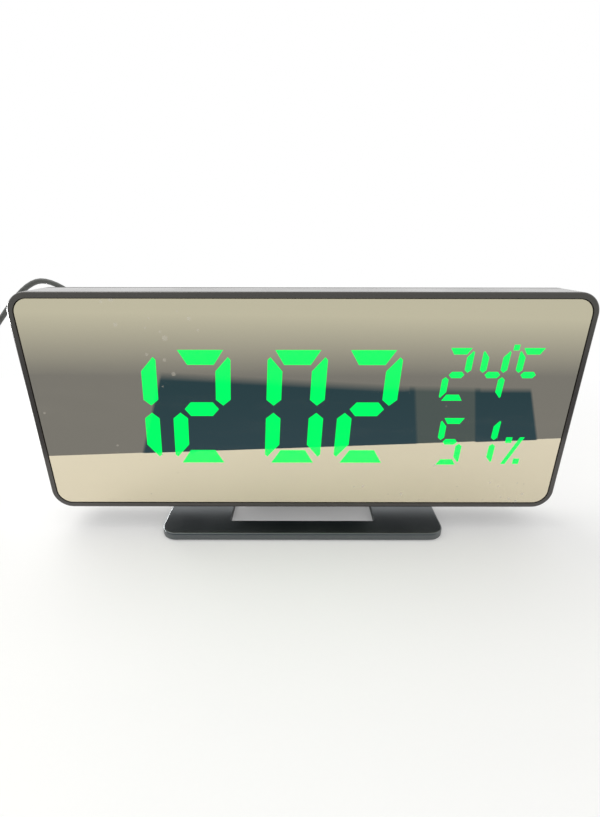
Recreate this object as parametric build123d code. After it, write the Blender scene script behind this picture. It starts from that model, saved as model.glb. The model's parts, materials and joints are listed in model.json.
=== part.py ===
# Mirror-faced LED desk clock on a tilting stand, with its power lead.
#
# The housing is a slim upright slab: a frame with a half-mirror front, a seven-segment
# display behind the mirror and a screwed rear cover. A moulded stand plate carries it on a
# hinge pin. Sizes are in millimetres. The origin lies on the table under the centre of the
# stand plate, +X to the viewer's right, +Y away from the viewer, +Z up.

from build123d import *
import os
from math import cos, pi, radians, sin, sqrt, tan

# Housing, seen from the front
BODY_W = 186.0          # overall width
BODY_H = 78.5           # overall height
BODY_LIFT = 9.5         # table to the housing's lower edge
BODY_SETBACK = 7.4      # stand's front edge to the bezel's front
CORNER_R = 7.0          # outer corners
WALL = 1.9              # side walls, which show as the bezel
FRONT_ROUND = 0.7       # rounded outer edge of the bezel
REAR_ROUND = 1.2        # rounded outer edge of the rear cover
COVER_T = 2.5           # rear cover
SEAM = 0.25             # groove where frame and cover meet, each side
RIM_T = 1.2             # locating rim inside the frame
RIM_DEEP = 1.5
RIM_FIT = 0.15          # rim to frame wall

# Mirror and the ledge that carries it
MIRROR_RECESS = 0.3     # mirror below the bezel's front
MIRROR_T = 1.5
MIRROR_FIT = 0.15       # mirror edge to bezel
TAPE_T = 0.2            # adhesive tape behind the mirror's border
TAPE_INSET = 0.6        # tape edge to mirror edge and to the ledge's opening
LEDGE_W = 8.0
LEDGE_T = 1.5
LEDGE_R = 2.0           # corners of the display opening

# Display: one reflector block with a cell for every segment
DISPLAY_RISE = 0.3      # centre of the display above the housing's middle
REFLECTOR_SIDE = 1.1    # reflector to the display opening, left and right
REFLECTOR_END = 3.35    # and above and below
REFLECTOR_D = 5.1
REFLECTOR_GAP = 0.4     # mirror to reflector
LENS_D = 3.2            # light-spreading insert in each cell
LENS_FIT = 0.06         # insert to cell wall
SLANT = 0.055           # digits lean to the right by this much per millimetre of height
POINT_IN = 0.48         # pointed ends of a digit's top from its sides, as a share of the stroke
POINT_FOOT = 1.1        # the same at the top's inner edge
SIDE_TIP = 0.18         # tip of an upright from its outer side, as a share of the stroke
SIDE_CUT = 0.66         # cut outer corner of an upright below the digit's top
SIDE_FOOT = 1.44        # inner corner of an upright below the digit's top
WAIST_CUT = 0.42        # cut corners of an upright at the digit's waist
WAIST_GAP = 1.4         # uprights from the waist, as a share of the gap
BAR_GAP = 1.6           # waist bar from the uprights, as a share of the gap
TIME_LEFT = 13.0        # reflector's left edge to the first hour digit
TIME_EDGE = 5.35        # reflector's upper and lower edges to the hour digits
TIME_SPACE = 4.8        # between two digits
TIME_STROKE = 0.253     # stroke as a share of the digit's width
TIME_GAP = 0.95         # between two segments
COLON_ROOM = 7.35       # extra space at the colon
COLON_SIZE = 4.0
COLON_Z = 8.0           # each colon dot from the middle
CLIMATE_SPACE = 14.65   # last minute digit to the first small digit
CLIMATE_RIGHT = 2.9     # last small digit to the reflector's right edge
CLIMATE_EDGE = 4.6      # reflector's upper and lower edges to the small digits
ROW_SPACE = 6.4         # temperature row to humidity row
ROW_SHIFT = 1.0         # humidity row to the right of its place under the temperature
SMALL_W = 9.0
SMALL_SPACE = 2.85
SMALL_STROKE = 0.24
SMALL_GAP = 0.55
DEGREE_SIZE = 1.9
DEGREE_RISE = 1.1       # above the small digits
PERCENT_H = 10.6
PERCENT_W = 4.6
PERCENT_STROKE = 1.6
PERCENT_DOT = 2.2
PERCENT_BASE = 0.3      # above the foot of its row

# Circuit board and what it carries
BOARD_SIDE = 9.0        # board's short edges to the housing's ends
BOARD_END = 3.25        # board's long edges to the housing's top and bottom
BOARD_R = 1.0
BOARD_T = 1.2
ROOM_D = 4.4            # board to rear cover
LED_W, LED_H, LED_D = 1.0, 0.5, 0.5
BOSS_R = 2.5
PILOT_R = 0.85
BOARD_SCREW_IN = 5.0    # from the board's short edges
SCREW_HEAD_R = 1.8
SCREW_HEAD_D = 1.1
SCREW_FIT = 0.25        # clearance round screw shanks and heads
COVER_BOSS_R = 2.9
COVER_SCREW_IN = 4.6    # from the housing's outer faces
COVER_HEAD_SINK = 0.2   # cover screws' heads below the cover
COVER_SCREW_ROOM = 1.0  # cover screws' tips to the ends of their pilot holes
CROSS_W = 0.4           # cross slot in a screw's head
CHIP_H, CHIP_D = 7.5, 1.8
CHIP_DROP = 3.25        # chips below the housing's middle
CONTROLLER_X, CONTROLLER_W = 12.0, 17.0
DRIVER_X, DRIVER_W = 38.0, 12.0
LEG_PITCH = 1.2
CRYSTAL_W, CRYSTAL_H, CRYSTAL_R = 5.0, 3.2, 0.6
CRYSTAL_DROP = 14.75    # below the housing's middle
CELL_R = 10.0           # coin cell that keeps the time when unplugged
CELL_D = 3.2
CELL_X = -26.0
CELL_RISE = 7.75        # above the housing's middle
HOLDER_FLOOR = 0.3
HOLDER_WALL = 1.4
HOLDER_FIT = 0.3
BUZZER_R, BUZZER_D = 6.0, 3.4
BUZZER_IN = 27.0        # from the housing's right end
BUZZER_DROP = 1.25      # below the housing's middle
SENSOR_SIZE, SENSOR_D = 3.0, 1.1
SENSOR_IN, SENSOR_UP = 17.0, 17.0   # from the housing's right end and lower edge
SLOT_W, SLOT_L, SLOT_PITCH = 1.4, 10.0, 3.0

# Push buttons on the rear cover
BUTTON_R = 3.5
BUTTON_PROUD = 1.0
BUTTON_TRAVEL = 0.6
BUTTON_FLANGE = 0.9     # flange beyond the cap, and its thickness
BUTTON_FIT = 0.3
BUTTON_IN = 31.0        # last button from the housing's right end
BUTTON_PITCH = 14.0
BUTTON_DROP = 16.5      # below the housing's top
SWITCH_W, SWITCH_D, SWITCH_R = 6.0, 3.0, 0.5
PLUNGER_R = 1.7
PLUNGER_SHORT = 0.5     # plunger tip below the cover's inner face
PLUNGER_ROOM = 0.1      # left over the plunger when a button is down

# Battery hatch
DOOR_T, DOOR_R = 1.6, 3.0
CELL_WAY = 1.3          # opening round the cell
DOOR_LEDGE = 2.2        # hatch's seat round that opening
DOOR_FOOT = 8.7         # hatch below the opening, where its screw is
DOOR_FIT = 0.3

# Tilt hinge and stand
HINGE_Z = 13.5          # axis above the housing's lower edge
HINGE_OUT = 4.2         # axis behind the rear cover
PIN_R = 1.5
PIN_RUN = 0.05          # running clearance in the stand's barrel
BARREL_R = 3.2
BARREL_L = 40.0
LUG_R = 3.6
LUG_T = 5.0
WASHER_T = 0.4
WASHER_FIT = 0.05       # each side of a friction washer
PLATE_W = 105.0
PLATE_D = 54.0
PLATE_T = 2.6
PLATE_R = 6.0
PLATE_ROUND = 0.7       # rounded upper edge
WINDOW_W = 55.3         # window that the stand's tongue stands out of
FRONT_RAIL = 7.8
WINDOW_R = 1.0
TONGUE_T = 2.6
TONGUE_FOOT = 3.0       # rounded foot behind the tongue
SHOULDER_FIT = 1.9      # tongue's full width ends this far below the lugs
PIN_SHORT = 0.2         # pin's ends inside the lugs
FOOT_R = 4.5
FOOT_T = 1.2
FOOT_PROUD = 0.5
FOOT_FIT = 0.1
FOOT_IN = 9.0           # foot centres from the plate's edges

# Power socket, lead and plugs
SOCKET_IN = 27.0        # from the housing's left end
SOCKET_RISE = 8.75      # above the housing's middle
SOCKET_W, SOCKET_H, SOCKET_WALL = 9.0, 3.3, 0.3
SOCKET_SINK = 0.4       # mouth below the rear cover
SOCKET_FIT = 0.3
TONGUE_W, TONGUE_H = 6.6, 0.7
TONGUE_SHORT = 1.0      # socket's tongue below its mouth
PLUG_W, PLUG_H, PLUG_L = 11.0, 6.4, 17.5
PLUG_EDGE = 1.2         # chamfer at the grip's rear
PLUG_GAP = 0.3          # plug grip to rear cover
PLUG_FIT = 0.08         # plug shell in the socket
PLUG_REACH = 5.5        # shell beyond the grip
BOOT_L, BOOT_R0, BOOT_R1 = 8.0, 2.6, 1.8
CORD_D = 2.4
CORD_SIDES = 6
COIL_X, COIL_Y = -153.0, -8.0
COIL_IN, COIL_PITCH, COIL_TURNS = 11.0, 3.2, 2.0
COIL_LAST_TURNS = 2.25
TIE_T, TIE_W, TIE_GAP = 0.5, 4.0, 0.45
TIE_TURN = 300.0        # degrees round the coil
USB_W, USB_H, USB_L = 15.5, 8.0, 26.0
USB_SHELL_W, USB_SHELL_H, USB_SHELL_L, USB_SHELL_T = 12.0, 4.5, 12.0, 0.3
USB_CORE_H = 1.9
USB_CORE_SHORT = 1.0    # core below the shell's mouth
USB_EDGE = 1.5          # chamfer where the lead enters the grip

# Depths behind the bezel's front
MIRROR_BACK = MIRROR_RECESS + MIRROR_T
LEDGE_FRONT = MIRROR_BACK + TAPE_T
LEDGE_BACK = LEDGE_FRONT + LEDGE_T
REFLECTOR_FRONT = MIRROR_BACK + REFLECTOR_GAP
BOARD_FRONT = REFLECTOR_FRONT + REFLECTOR_D
BOARD_BACK = BOARD_FRONT + BOARD_T
FRAME_D = BOARD_BACK + ROOM_D
BODY_D = FRAME_D + COVER_T

# Places in the part's frame
FRONT_Y = BODY_SETBACK - PLATE_D / 2
HINGE_Y = FRONT_Y + BODY_D + HINGE_OUT
HINGE_UP = BODY_LIFT + HINGE_Z
PLATE_TOP = FOOT_PROUD + PLATE_T
BODY_END = BODY_W / 2
BODY_MID = BODY_H / 2
BUTTON_Z = BODY_H - BUTTON_DROP
CELL_Z = BODY_MID + CELL_RISE
CHIP_Z = BODY_MID - CHIP_DROP
BUZZER_X, BUZZER_Z = BODY_END - BUZZER_IN, BODY_MID - BUZZER_DROP
SENSOR_X, SENSOR_Z = BODY_END - SENSOR_IN, SENSOR_UP
SOCKET_X, SOCKET_Z = SOCKET_IN - BODY_END, BODY_MID + SOCKET_RISE


def facing(depth):
    """Plane parallel to the clock's face: x to the right, y up from the lower edge."""
    return Plane(origin=(0, FRONT_Y + depth, BODY_LIFT), x_dir=(1, 0, 0), z_dir=(0, -1, 0))


def plate(outline, front, back):
    """Solid of an outline in the clock's face, between two depths."""
    return extrude(facing(back) * outline, amount=back - front)


def rod(x, z, radius, front, back):
    return plate(Pos(x, z) * Circle(radius), front, back)


def block(x, z, width, height, front, back):
    return plate(Pos(x, z) * Rectangle(width, height), front, back)


def level(outline, low, high):
    """Solid of a plan outline between two heights."""
    return extrude(Plane.XY.offset(low) * outline, amount=high - low)


def along_x(outline, start, end):
    """Solid of a side outline, drawn in y and z, between two places on X."""
    return extrude(Plane.YZ.offset(start) * outline, amount=end - start)


def body_outline(inset=0.0):
    corner = CORNER_R - inset
    return Pos(0, BODY_MID) * RectangleRounded(BODY_W - 2 * inset, BODY_H - 2 * inset, corner)


def opening_outline(grow=0.0):
    inset = WALL + LEDGE_W - grow
    return Pos(0, BODY_MID) * RectangleRounded(BODY_W - 2 * inset, BODY_H - 2 * inset, LEDGE_R)


# Seven-segment cells: each digit's segments in its own upright frame

def segment_shapes(width, height, stroke, gap):
    """Corner points of segments a to g: pointed top and foot, uprights cut where they meet them."""
    w, h, half = width / 2, height / 2, stroke / 2
    waist, cut = WAIST_GAP * gap, WAIST_CUT * stroke
    top = [(w - POINT_IN * stroke, h), (w - POINT_FOOT * stroke, h - stroke)]
    side = [(w - SIDE_TIP * stroke, h - POINT_IN * stroke), (w, h - SIDE_CUT * stroke)]
    side += [(w, waist + cut), (w - half, waist), (w - stroke, waist + cut)]
    side += [(w - stroke, h - SIDE_FOOT * stroke)]
    bar_end = w - half - BAR_GAP * gap
    bar = [(bar_end, 0), (bar_end - cut, half), (bar_end - cut, -half)]

    def flip(points, across, up):
        return [(across * x, up * z) for x, z in points]

    return {
        "a": top + flip(top, -1, 1)[::-1],
        "b": side,
        "c": flip(side, 1, -1),
        "d": flip(top, 1, -1) + flip(top, -1, -1)[::-1],
        "e": flip(side, -1, -1),
        "f": flip(side, -1, 1),
        "g": [bar[1], bar[0], bar[2], *flip([bar[2], bar[0], bar[1]], -1, 1)],
    }


def slanted(points, x, z):
    """Points leant to the right and moved into place, in counter-clockwise order."""
    placed = [(x + px + SLANT * pz, z + pz) for px, pz in points]
    turns = sum(a[0] * b[1] - b[0] * a[1] for a, b in zip(placed, placed[1:] + placed[:1]))
    return placed if turns > 0 else placed[::-1]


# Display layout: the hour digits take the width that the margins and small digits leave
display_z = BODY_MID + DISPLAY_RISE
reflector_w = BODY_W - 2 * (WALL + LEDGE_W + REFLECTOR_SIDE)
reflector_h = BODY_H - 2 * (WALL + LEDGE_W + REFLECTOR_END)
climate_w = 3 * SMALL_W + 2 * SMALL_SPACE
climate_x = reflector_w / 2 - CLIMATE_RIGHT - climate_w + SMALL_W / 2
climate_pitch = SMALL_W + SMALL_SPACE
small_h = (reflector_h - 2 * CLIMATE_EDGE - ROW_SPACE) / 2
upper_row = display_z + (small_h + ROW_SPACE) / 2
lower_row = display_z - (small_h + ROW_SPACE) / 2
time_room = reflector_w - TIME_LEFT - CLIMATE_SPACE - climate_w - CLIMATE_RIGHT
time_w = (time_room - 3 * TIME_SPACE - COLON_ROOM) / 4
time_h = reflector_h - 2 * TIME_EDGE
time_x = TIME_LEFT + time_room / 2 - reflector_w / 2
time_pitch = time_w + TIME_SPACE
near_colon = (time_pitch + COLON_ROOM) / 2
time_places = [-near_colon - time_pitch, -near_colon, near_colon, near_colon + time_pitch]

TIME_DIGIT = segment_shapes(time_w, time_h, TIME_STROKE * time_w, TIME_GAP)
SMALL_DIGIT = segment_shapes(SMALL_W, small_h, SMALL_STROKE * SMALL_W, SMALL_GAP)
LIT = {"0": "abcdef", "1": "bc", "2": "abdeg", "4": "bcfg", "5": "acdfg", "C": "afg"}

time_lit, climate_lit, unlit = [], [], []
for x, glyph in zip(time_places, "1202"):
    for name, points in TIME_DIGIT.items():
        cells = time_lit if name in LIT[glyph] else unlit
        cells.append(slanted(points, time_x + x, display_z))
for row, shift, glyphs in ((upper_row, 0, "24C"), (lower_row, ROW_SHIFT, "51")):
    for place, glyph in enumerate(glyphs):
        for name, points in SMALL_DIGIT.items():
            if glyph == "C" and name not in LIT["C"]:
                continue
            cells = climate_lit if name in LIT[glyph] else unlit
            cells.append(slanted(points, climate_x + shift + place * climate_pitch, row))


def square(size):
    half = size / 2
    return [(half, half), (half, -half), (-half, -half), (-half, half)]


for up in (COLON_Z, -COLON_Z):
    unlit.append(slanted(square(COLON_SIZE), time_x + SLANT * up, display_z + up))
degree_x = climate_x + 1.5 * climate_pitch + SLANT * small_h / 2
degree_z = upper_row + small_h / 2 + DEGREE_RISE - DEGREE_SIZE / 2
climate_lit.append(slanted(square(DEGREE_SIZE), degree_x, degree_z))
percent_x = climate_x + 2 * climate_pitch
percent_z = lower_row - small_h / 2 + PERCENT_BASE + PERCENT_H / 2
reach, rise = PERCENT_W / 2, PERCENT_H / 2
half_stroke = PERCENT_STROKE / 2
slash = [(reach + half_stroke, rise), (reach - half_stroke, rise)]
slash += [(-x, -z) for x, z in slash]
climate_lit.append(slanted(slash, percent_x, percent_z))
dot_x, dot_z = reach - PERCENT_DOT / 2 + half_stroke, rise - PERCENT_DOT / 2
for side in (-1, 1):
    climate_lit.append(slanted(square(PERCENT_DOT), percent_x + side * dot_x, percent_z - side * dot_z))


def cell_sketch(cells, grow=0.0):
    faces = [Polygon(*points, align=None) for points in cells]
    if grow:
        faces = [offset(face, amount=grow, kind=Kind.INTERSECTION) for face in faces]
    return Sketch() + faces


def middle(points):
    return sum(p[0] for p in points) / len(points), sum(p[1] for p in points) / len(points)


lens_back = REFLECTOR_FRONT + LENS_D
all_cells = time_lit + climate_lit + unlit
reflector_outline = Pos(0, display_z) * Rectangle(reflector_w, reflector_h)
reflector_outline -= cell_sketch(all_cells, LENS_FIT)
reflector_block = plate(reflector_outline, REFLECTOR_FRONT, BOARD_FRONT)
time_segments = plate(cell_sketch(time_lit), REFLECTOR_FRONT, lens_back)
climate_segments = plate(cell_sketch(climate_lit), REFLECTOR_FRONT, lens_back)
unlit_segments = plate(cell_sketch(unlit), REFLECTOR_FRONT, lens_back)
led_spots = [Pos(*middle(points)) * Rectangle(LED_W, LED_H) for points in all_cells]
segment_leds = plate(Sketch() + led_spots, BOARD_FRONT - LED_D, BOARD_FRONT)

# Front frame: bezel, mirror pocket, ledge, bosses for the board and the rear cover
board_screw_x = BODY_END - BOARD_SIDE - BOARD_SCREW_IN
board_screws_at = [
    (side * board_screw_x, BODY_MID + up * (BODY_MID - WALL - LEDGE_W / 2))
    for up in (-1, 1)
    for side in (-1, 0, 1)
]
cover_screws_at = [
    (side * (BODY_END - COVER_SCREW_IN), BODY_MID + up * (BODY_MID - COVER_SCREW_IN))
    for side in (-1, 1)
    for up in (-1, 1)
]
boss_root = (LEDGE_FRONT + LEDGE_BACK) / 2
front_frame = plate(body_outline(), 0, FRAME_D)
front_frame = fillet(front_frame.faces().sort_by(Axis.Y)[0].edges(), FRONT_ROUND)
front_frame = chamfer(front_frame.faces().sort_by(Axis.Y)[-1].edges(), SEAM)
front_frame -= plate(body_outline(WALL), 0, LEDGE_FRONT)
front_frame -= plate(opening_outline(), 0, LEDGE_BACK)
front_frame -= plate(body_outline(WALL), LEDGE_BACK, FRAME_D)
for x, z in board_screws_at:
    front_frame += rod(x, z, BOSS_R, boss_root, BOARD_FRONT)
    front_frame -= rod(x, z, PILOT_R, boss_root, BOARD_FRONT)
for x, z in cover_screws_at:
    post = rod(x, z, COVER_BOSS_R, boss_root, FRAME_D) & plate(body_outline(), 0, FRAME_D)
    front_frame += post
    front_frame -= rod(x, z, PILOT_R, LEDGE_BACK, FRAME_D)

mirror_panel = plate(body_outline(WALL + MIRROR_FIT), MIRROR_RECESS, MIRROR_BACK)
tape_outline = body_outline(WALL + MIRROR_FIT + TAPE_INSET) - opening_outline(TAPE_INSET)
mirror_tape = plate(tape_outline, MIRROR_BACK, LEDGE_FRONT)

# Circuit board
board_outline = RectangleRounded(BODY_W - 2 * BOARD_SIDE, BODY_H - 2 * BOARD_END, BOARD_R)
display_board = plate(Pos(0, BODY_MID) * board_outline, BOARD_FRONT, BOARD_BACK)
for x, z in board_screws_at:
    display_board -= rod(x, z, PILOT_R + SCREW_FIT, BOARD_FRONT, BOARD_BACK)


def screw(x, z, head_back, length, head_r=SCREW_HEAD_R):
    """Round-headed screw with a cross slot; its head's outer face lies at head_back."""
    head_front = head_back - SCREW_HEAD_D
    body = rod(x, z, head_r, head_front, head_back)
    body += rod(x, z, PILOT_R, head_front - length, head_front)
    slot = Rectangle(head_r * 1.2, CROSS_W) + Rectangle(CROSS_W, head_r * 1.2)
    return body - plate(Pos(x, z) * slot, head_back - SCREW_HEAD_D / 2, head_back)


board_screw_l = BOARD_BACK - LEDGE_BACK
board_head = BOARD_BACK + SCREW_HEAD_D
board_screws = Compound([screw(x, z, board_head, board_screw_l) for x, z in board_screws_at])


def chip(x, width):
    """Surface-mounted chip with a row of legs along each long side."""
    legs = int(width / LEG_PITCH)
    foot = Rectangle(LEG_PITCH / 2, CHIP_H * 1.3)
    feet = [Pos(x + LEG_PITCH * (i - (legs - 1) / 2), CHIP_Z) * foot for i in range(legs)]
    body = block(x, CHIP_Z, width, CHIP_H, BOARD_BACK, BOARD_BACK + CHIP_D)
    return body + plate(Sketch() + feet, BOARD_BACK, BOARD_BACK + CHIP_D / 6)


controller_chip = chip(CONTROLLER_X, CONTROLLER_W)
driver_chip = chip(DRIVER_X, DRIVER_W)
crystal_outline = RectangleRounded(CRYSTAL_W, CRYSTAL_H, CRYSTAL_R)
crystal_outline = Pos(CONTROLLER_X, BODY_MID - CRYSTAL_DROP) * crystal_outline
clock_crystal = plate(crystal_outline, BOARD_BACK, BOARD_BACK + CHIP_D * 0.6)
sensor_back = BOARD_BACK + SENSOR_D
climate_sensor = block(SENSOR_X, SENSOR_Z, SENSOR_SIZE, SENSOR_SIZE, BOARD_BACK, sensor_back)
climate_sensor -= rod(SENSOR_X, SENSOR_Z, SENSOR_SIZE / 5, sensor_back - SENSOR_D / 2, sensor_back)
buzzer_back = BOARD_BACK + BUZZER_D
buzzer = rod(BUZZER_X, BUZZER_Z, BUZZER_R, BOARD_BACK, buzzer_back)
buzzer -= rod(BUZZER_X, BUZZER_Z, BUZZER_R / 5, buzzer_back - BUZZER_D / 2, buzzer_back)

cell_front = BOARD_BACK + HOLDER_FLOOR
holder_in = CELL_R + HOLDER_FIT
holder_out = holder_in + HOLDER_WALL
cell_holder = rod(CELL_X, CELL_Z, holder_out, BOARD_BACK, cell_front + CELL_D * 0.7)
cell_holder -= rod(CELL_X, CELL_Z, holder_in, cell_front, cell_front + CELL_D)
cell_holder -= block(CELL_X, CELL_Z + holder_out, CELL_R, holder_out, cell_front, cell_front + CELL_D)
coin_cell = rod(CELL_X, CELL_Z, CELL_R, cell_front, cell_front + CELL_D)
coin_cell = chamfer(coin_cell.edges().sort_by(Axis.Y)[0], CELL_D / 8)

# Push buttons and the switches that they press
button_names = ("button_set", "button_up", "button_down", "button_alarm")
button_places = {name: BODY_END - BUTTON_IN - i * BUTTON_PITCH for i, name in enumerate(button_names)}
flange_r = BUTTON_R + BUTTON_FLANGE
flange_back = FRAME_D + BUTTON_FLANGE
switch_back = BOARD_BACK + SWITCH_D
plunger_back = FRAME_D - PLUNGER_SHORT
switch_outline = RectangleRounded(SWITCH_W, SWITCH_W, SWITCH_R)
switches = []
for x in button_places.values():
    body = plate(Pos(x, BUTTON_Z) * switch_outline, BOARD_BACK, switch_back)
    switches.append(body + rod(x, BUTTON_Z, PLUNGER_R, switch_back, plunger_back))
button_switches = Compound(switches)


def button(x):
    """Cap with a retaining flange behind the cover and a bore over the switch's plunger."""
    cap = rod(x, BUTTON_Z, BUTTON_R, flange_back, BODY_D + BUTTON_PROUD)
    cap = chamfer(cap.edges().sort_by(Axis.Y)[-1], BUTTON_PROUD / 2)
    cap += rod(x, BUTTON_Z, flange_r, FRAME_D, flange_back)
    bore_end = plunger_back + BUTTON_TRAVEL + PLUNGER_ROOM
    return cap - rod(x, BUTTON_Z, PLUNGER_R + BUTTON_FIT, FRAME_D, bore_end)


# Rear cover
rim_in = WALL + RIM_FIT
door_seat = BODY_D - DOOR_T
cell_way = CELL_R + CELL_WAY
door_w = 2 * (cell_way + DOOR_LEDGE)
door_h = 2 * cell_way + DOOR_LEDGE + DOOR_FOOT
door_z = CELL_Z + (DOOR_LEDGE - DOOR_FOOT) / 2
door_screw_z = CELL_Z - cell_way - DOOR_FOOT / 2
lug_start = BARREL_L / 2 + WASHER_T + 2 * WASHER_FIT
lug_outline = Pos(HINGE_Y, HINGE_UP) * Circle(LUG_R)
lug_outline += Pos(HINGE_Y - HINGE_OUT / 2, HINGE_UP) * Rectangle(HINGE_OUT, 2 * LUG_R)
pin_hole = Pos(HINGE_Y, HINGE_UP) * Circle(PIN_R)

rear_cover = plate(body_outline(), FRAME_D, BODY_D)
rear_cover = fillet(rear_cover.faces().sort_by(Axis.Y)[-1].edges(), REAR_ROUND)
rear_cover = chamfer(rear_cover.faces().sort_by(Axis.Y)[0].edges(), SEAM)
rim = plate(body_outline(rim_in) - body_outline(rim_in + RIM_T), FRAME_D - RIM_DEEP, FRAME_D)
for x, z in cover_screws_at:
    rim -= rod(x, z, COVER_BOSS_R + SCREW_FIT, FRAME_D - RIM_DEEP, FRAME_D)
rear_cover += rim
rear_cover += rod(CELL_X, door_screw_z, BOSS_R, FRAME_D - RIM_DEEP, FRAME_D)
for side in (-1, 1):
    ends = sorted((side * lug_start, side * (lug_start + LUG_T)))
    rear_cover += along_x(lug_outline - pin_hole, *ends)
for x, z in cover_screws_at:
    rear_cover -= rod(x, z, PILOT_R + SCREW_FIT, FRAME_D, BODY_D)
    rear_cover -= rod(x, z, SCREW_HEAD_R + SCREW_FIT, BODY_D - SCREW_HEAD_D - COVER_HEAD_SINK, BODY_D)
for x in button_places.values():
    rear_cover -= rod(x, BUTTON_Z, BUTTON_R + BUTTON_FIT, FRAME_D, BODY_D)
    rear_cover -= rod(x, BUTTON_Z, flange_r + BUTTON_FIT, FRAME_D, flange_back)
door_outline = Pos(CELL_X, door_z) * RectangleRounded(door_w, door_h, DOOR_R)
door_pocket = RectangleRounded(door_w + 2 * DOOR_FIT, door_h + 2 * DOOR_FIT, DOOR_R + DOOR_FIT)
cell_opening = RectangleRounded(2 * cell_way, 2 * cell_way, DOOR_R)
rear_cover -= plate(Pos(CELL_X, door_z) * door_pocket, door_seat, BODY_D)
rear_cover -= plate(Pos(CELL_X, CELL_Z) * cell_opening, FRAME_D, BODY_D)
rear_cover -= rod(CELL_X, door_screw_z, PILOT_R + SCREW_FIT, FRAME_D - RIM_DEEP, BODY_D)
for x, z in ((BUZZER_X, BUZZER_Z), (SENSOR_X, SENSOR_Z)):
    slots = [Pos(x, z + SLOT_PITCH * i) * SlotOverall(SLOT_L, SLOT_W) for i in (-1, 0, 1)]
    rear_cover -= plate(Sketch() + slots, FRAME_D, BODY_D)
socket_hole = SlotOverall(SOCKET_W + 2 * SOCKET_FIT, SOCKET_H + 2 * SOCKET_FIT)
rear_cover -= plate(Pos(SOCKET_X, SOCKET_Z) * socket_hole, FRAME_D, BODY_D)

cover_head = BODY_D - COVER_HEAD_SINK
cover_screw_l = cover_head - SCREW_HEAD_D - LEDGE_BACK - COVER_SCREW_ROOM
cover_screws = Compound([screw(x, z, cover_head, cover_screw_l) for x, z in cover_screws_at])

# Battery hatch and its captive screw
battery_door = plate(door_outline, door_seat, BODY_D)
battery_door -= rod(CELL_X, door_screw_z, PILOT_R + SCREW_FIT, door_seat, BODY_D)
battery_door -= rod(CELL_X, door_screw_z, SCREW_HEAD_R + SCREW_FIT, BODY_D - SCREW_HEAD_D, BODY_D)
nail_slot = Pos(CELL_X, door_z + door_h / 2 - DOOR_R) * SlotOverall(door_w / 3, DOOR_R)
battery_door -= plate(nail_slot, BODY_D - DOOR_T / 2, BODY_D)
door_screw_l = BODY_D - SCREW_HEAD_D - (FRAME_D - RIM_DEEP)
door_screw = screw(CELL_X, door_screw_z, BODY_D, door_screw_l)

# Tilt hinge
pin_end = lug_start + LUG_T - PIN_SHORT
hinge_pin = chamfer(along_x(pin_hole, -pin_end, pin_end).edges(), PIN_R / 6)
washer_outline = Pos(HINGE_Y, HINGE_UP) * (Circle(BARREL_R) - Circle(PIN_R + 2 * PIN_RUN))
washer_start = BARREL_L / 2 + WASHER_FIT
friction_washers = Compound([
    along_x(washer_outline, washer_start, washer_start + WASHER_T),
    along_x(washer_outline, -washer_start - WASHER_T, -washer_start),
])

# Stand: plate with a window, and the tongue that rises at the window's rear edge to the hinge
window_front = FRONT_RAIL - PLATE_D / 2
tongue_front = HINGE_Y - TONGUE_T / 2
tongue_back = HINGE_Y + TONGUE_T / 2
window_l = tongue_front - window_front
stand_base = level(RectangleRounded(PLATE_W, PLATE_D, PLATE_R), FOOT_PROUD, PLATE_TOP)
stand_base = fillet(stand_base.faces().sort_by(Axis.Z)[-1].edges(), PLATE_ROUND)
window = Pos(0, window_front + window_l / 2) * Rectangle(WINDOW_W, window_l)
window = fillet(window.vertices().group_by(Axis.Y)[0], WINDOW_R)
stand_base -= level(window, 0, PLATE_TOP)


def tongue_part(half_width, top):
    wall = Pos(HINGE_Y, (FOOT_PROUD + top) / 2) * Rectangle(TONGUE_T, top - FOOT_PROUD)
    return along_x(wall, -half_width, half_width)


foot_at = Pos(tongue_back + TONGUE_FOOT / 2, PLATE_TOP + TONGUE_FOOT / 2)
foot_cut = Pos(tongue_back + TONGUE_FOOT, PLATE_TOP + TONGUE_FOOT) * Circle(TONGUE_FOOT)
tongue_foot = foot_at * Rectangle(TONGUE_FOOT, TONGUE_FOOT) - foot_cut
stand_base += tongue_part(WINDOW_W / 2, HINGE_UP - LUG_R - SHOULDER_FIT)
stand_base += tongue_part(BARREL_L / 2, HINGE_UP)
stand_base += along_x(tongue_foot, -WINDOW_W / 2, WINDOW_W / 2)
stand_base += along_x(Pos(HINGE_Y, HINGE_UP) * Circle(BARREL_R), -BARREL_L / 2, BARREL_L / 2)
stand_base -= along_x(Pos(HINGE_Y, HINGE_UP) * Circle(PIN_R + PIN_RUN), -BARREL_L / 2, BARREL_L / 2)
foot_places = [
    Pos(side * (PLATE_W / 2 - FOOT_IN), end * (PLATE_D / 2 - FOOT_IN))
    for side in (-1, 1)
    for end in (-1, 1)
]
for place in foot_places:
    stand_base -= level(place * Circle(FOOT_R + FOOT_FIT), FOOT_PROUD, FOOT_T)
rubber_feet = Compound([level(place * Circle(FOOT_R), 0, FOOT_T) for place in foot_places])

# Power socket and the lead's plug in it
socket_at = Pos(SOCKET_X, SOCKET_Z)
socket_mouth = BODY_D - SOCKET_SINK
socket_inner_w, socket_inner_h = SOCKET_W - 2 * SOCKET_WALL, SOCKET_H - 2 * SOCKET_WALL
socket_floor = BOARD_BACK + 2 * SOCKET_WALL
power_socket = plate(socket_at * SlotOverall(SOCKET_W, SOCKET_H), BOARD_BACK, socket_mouth)
power_socket -= plate(socket_at * SlotOverall(socket_inner_w, socket_inner_h), socket_floor, socket_mouth)
power_socket += plate(socket_at * Rectangle(TONGUE_W, TONGUE_H), socket_floor, socket_mouth - TONGUE_SHORT)

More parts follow.
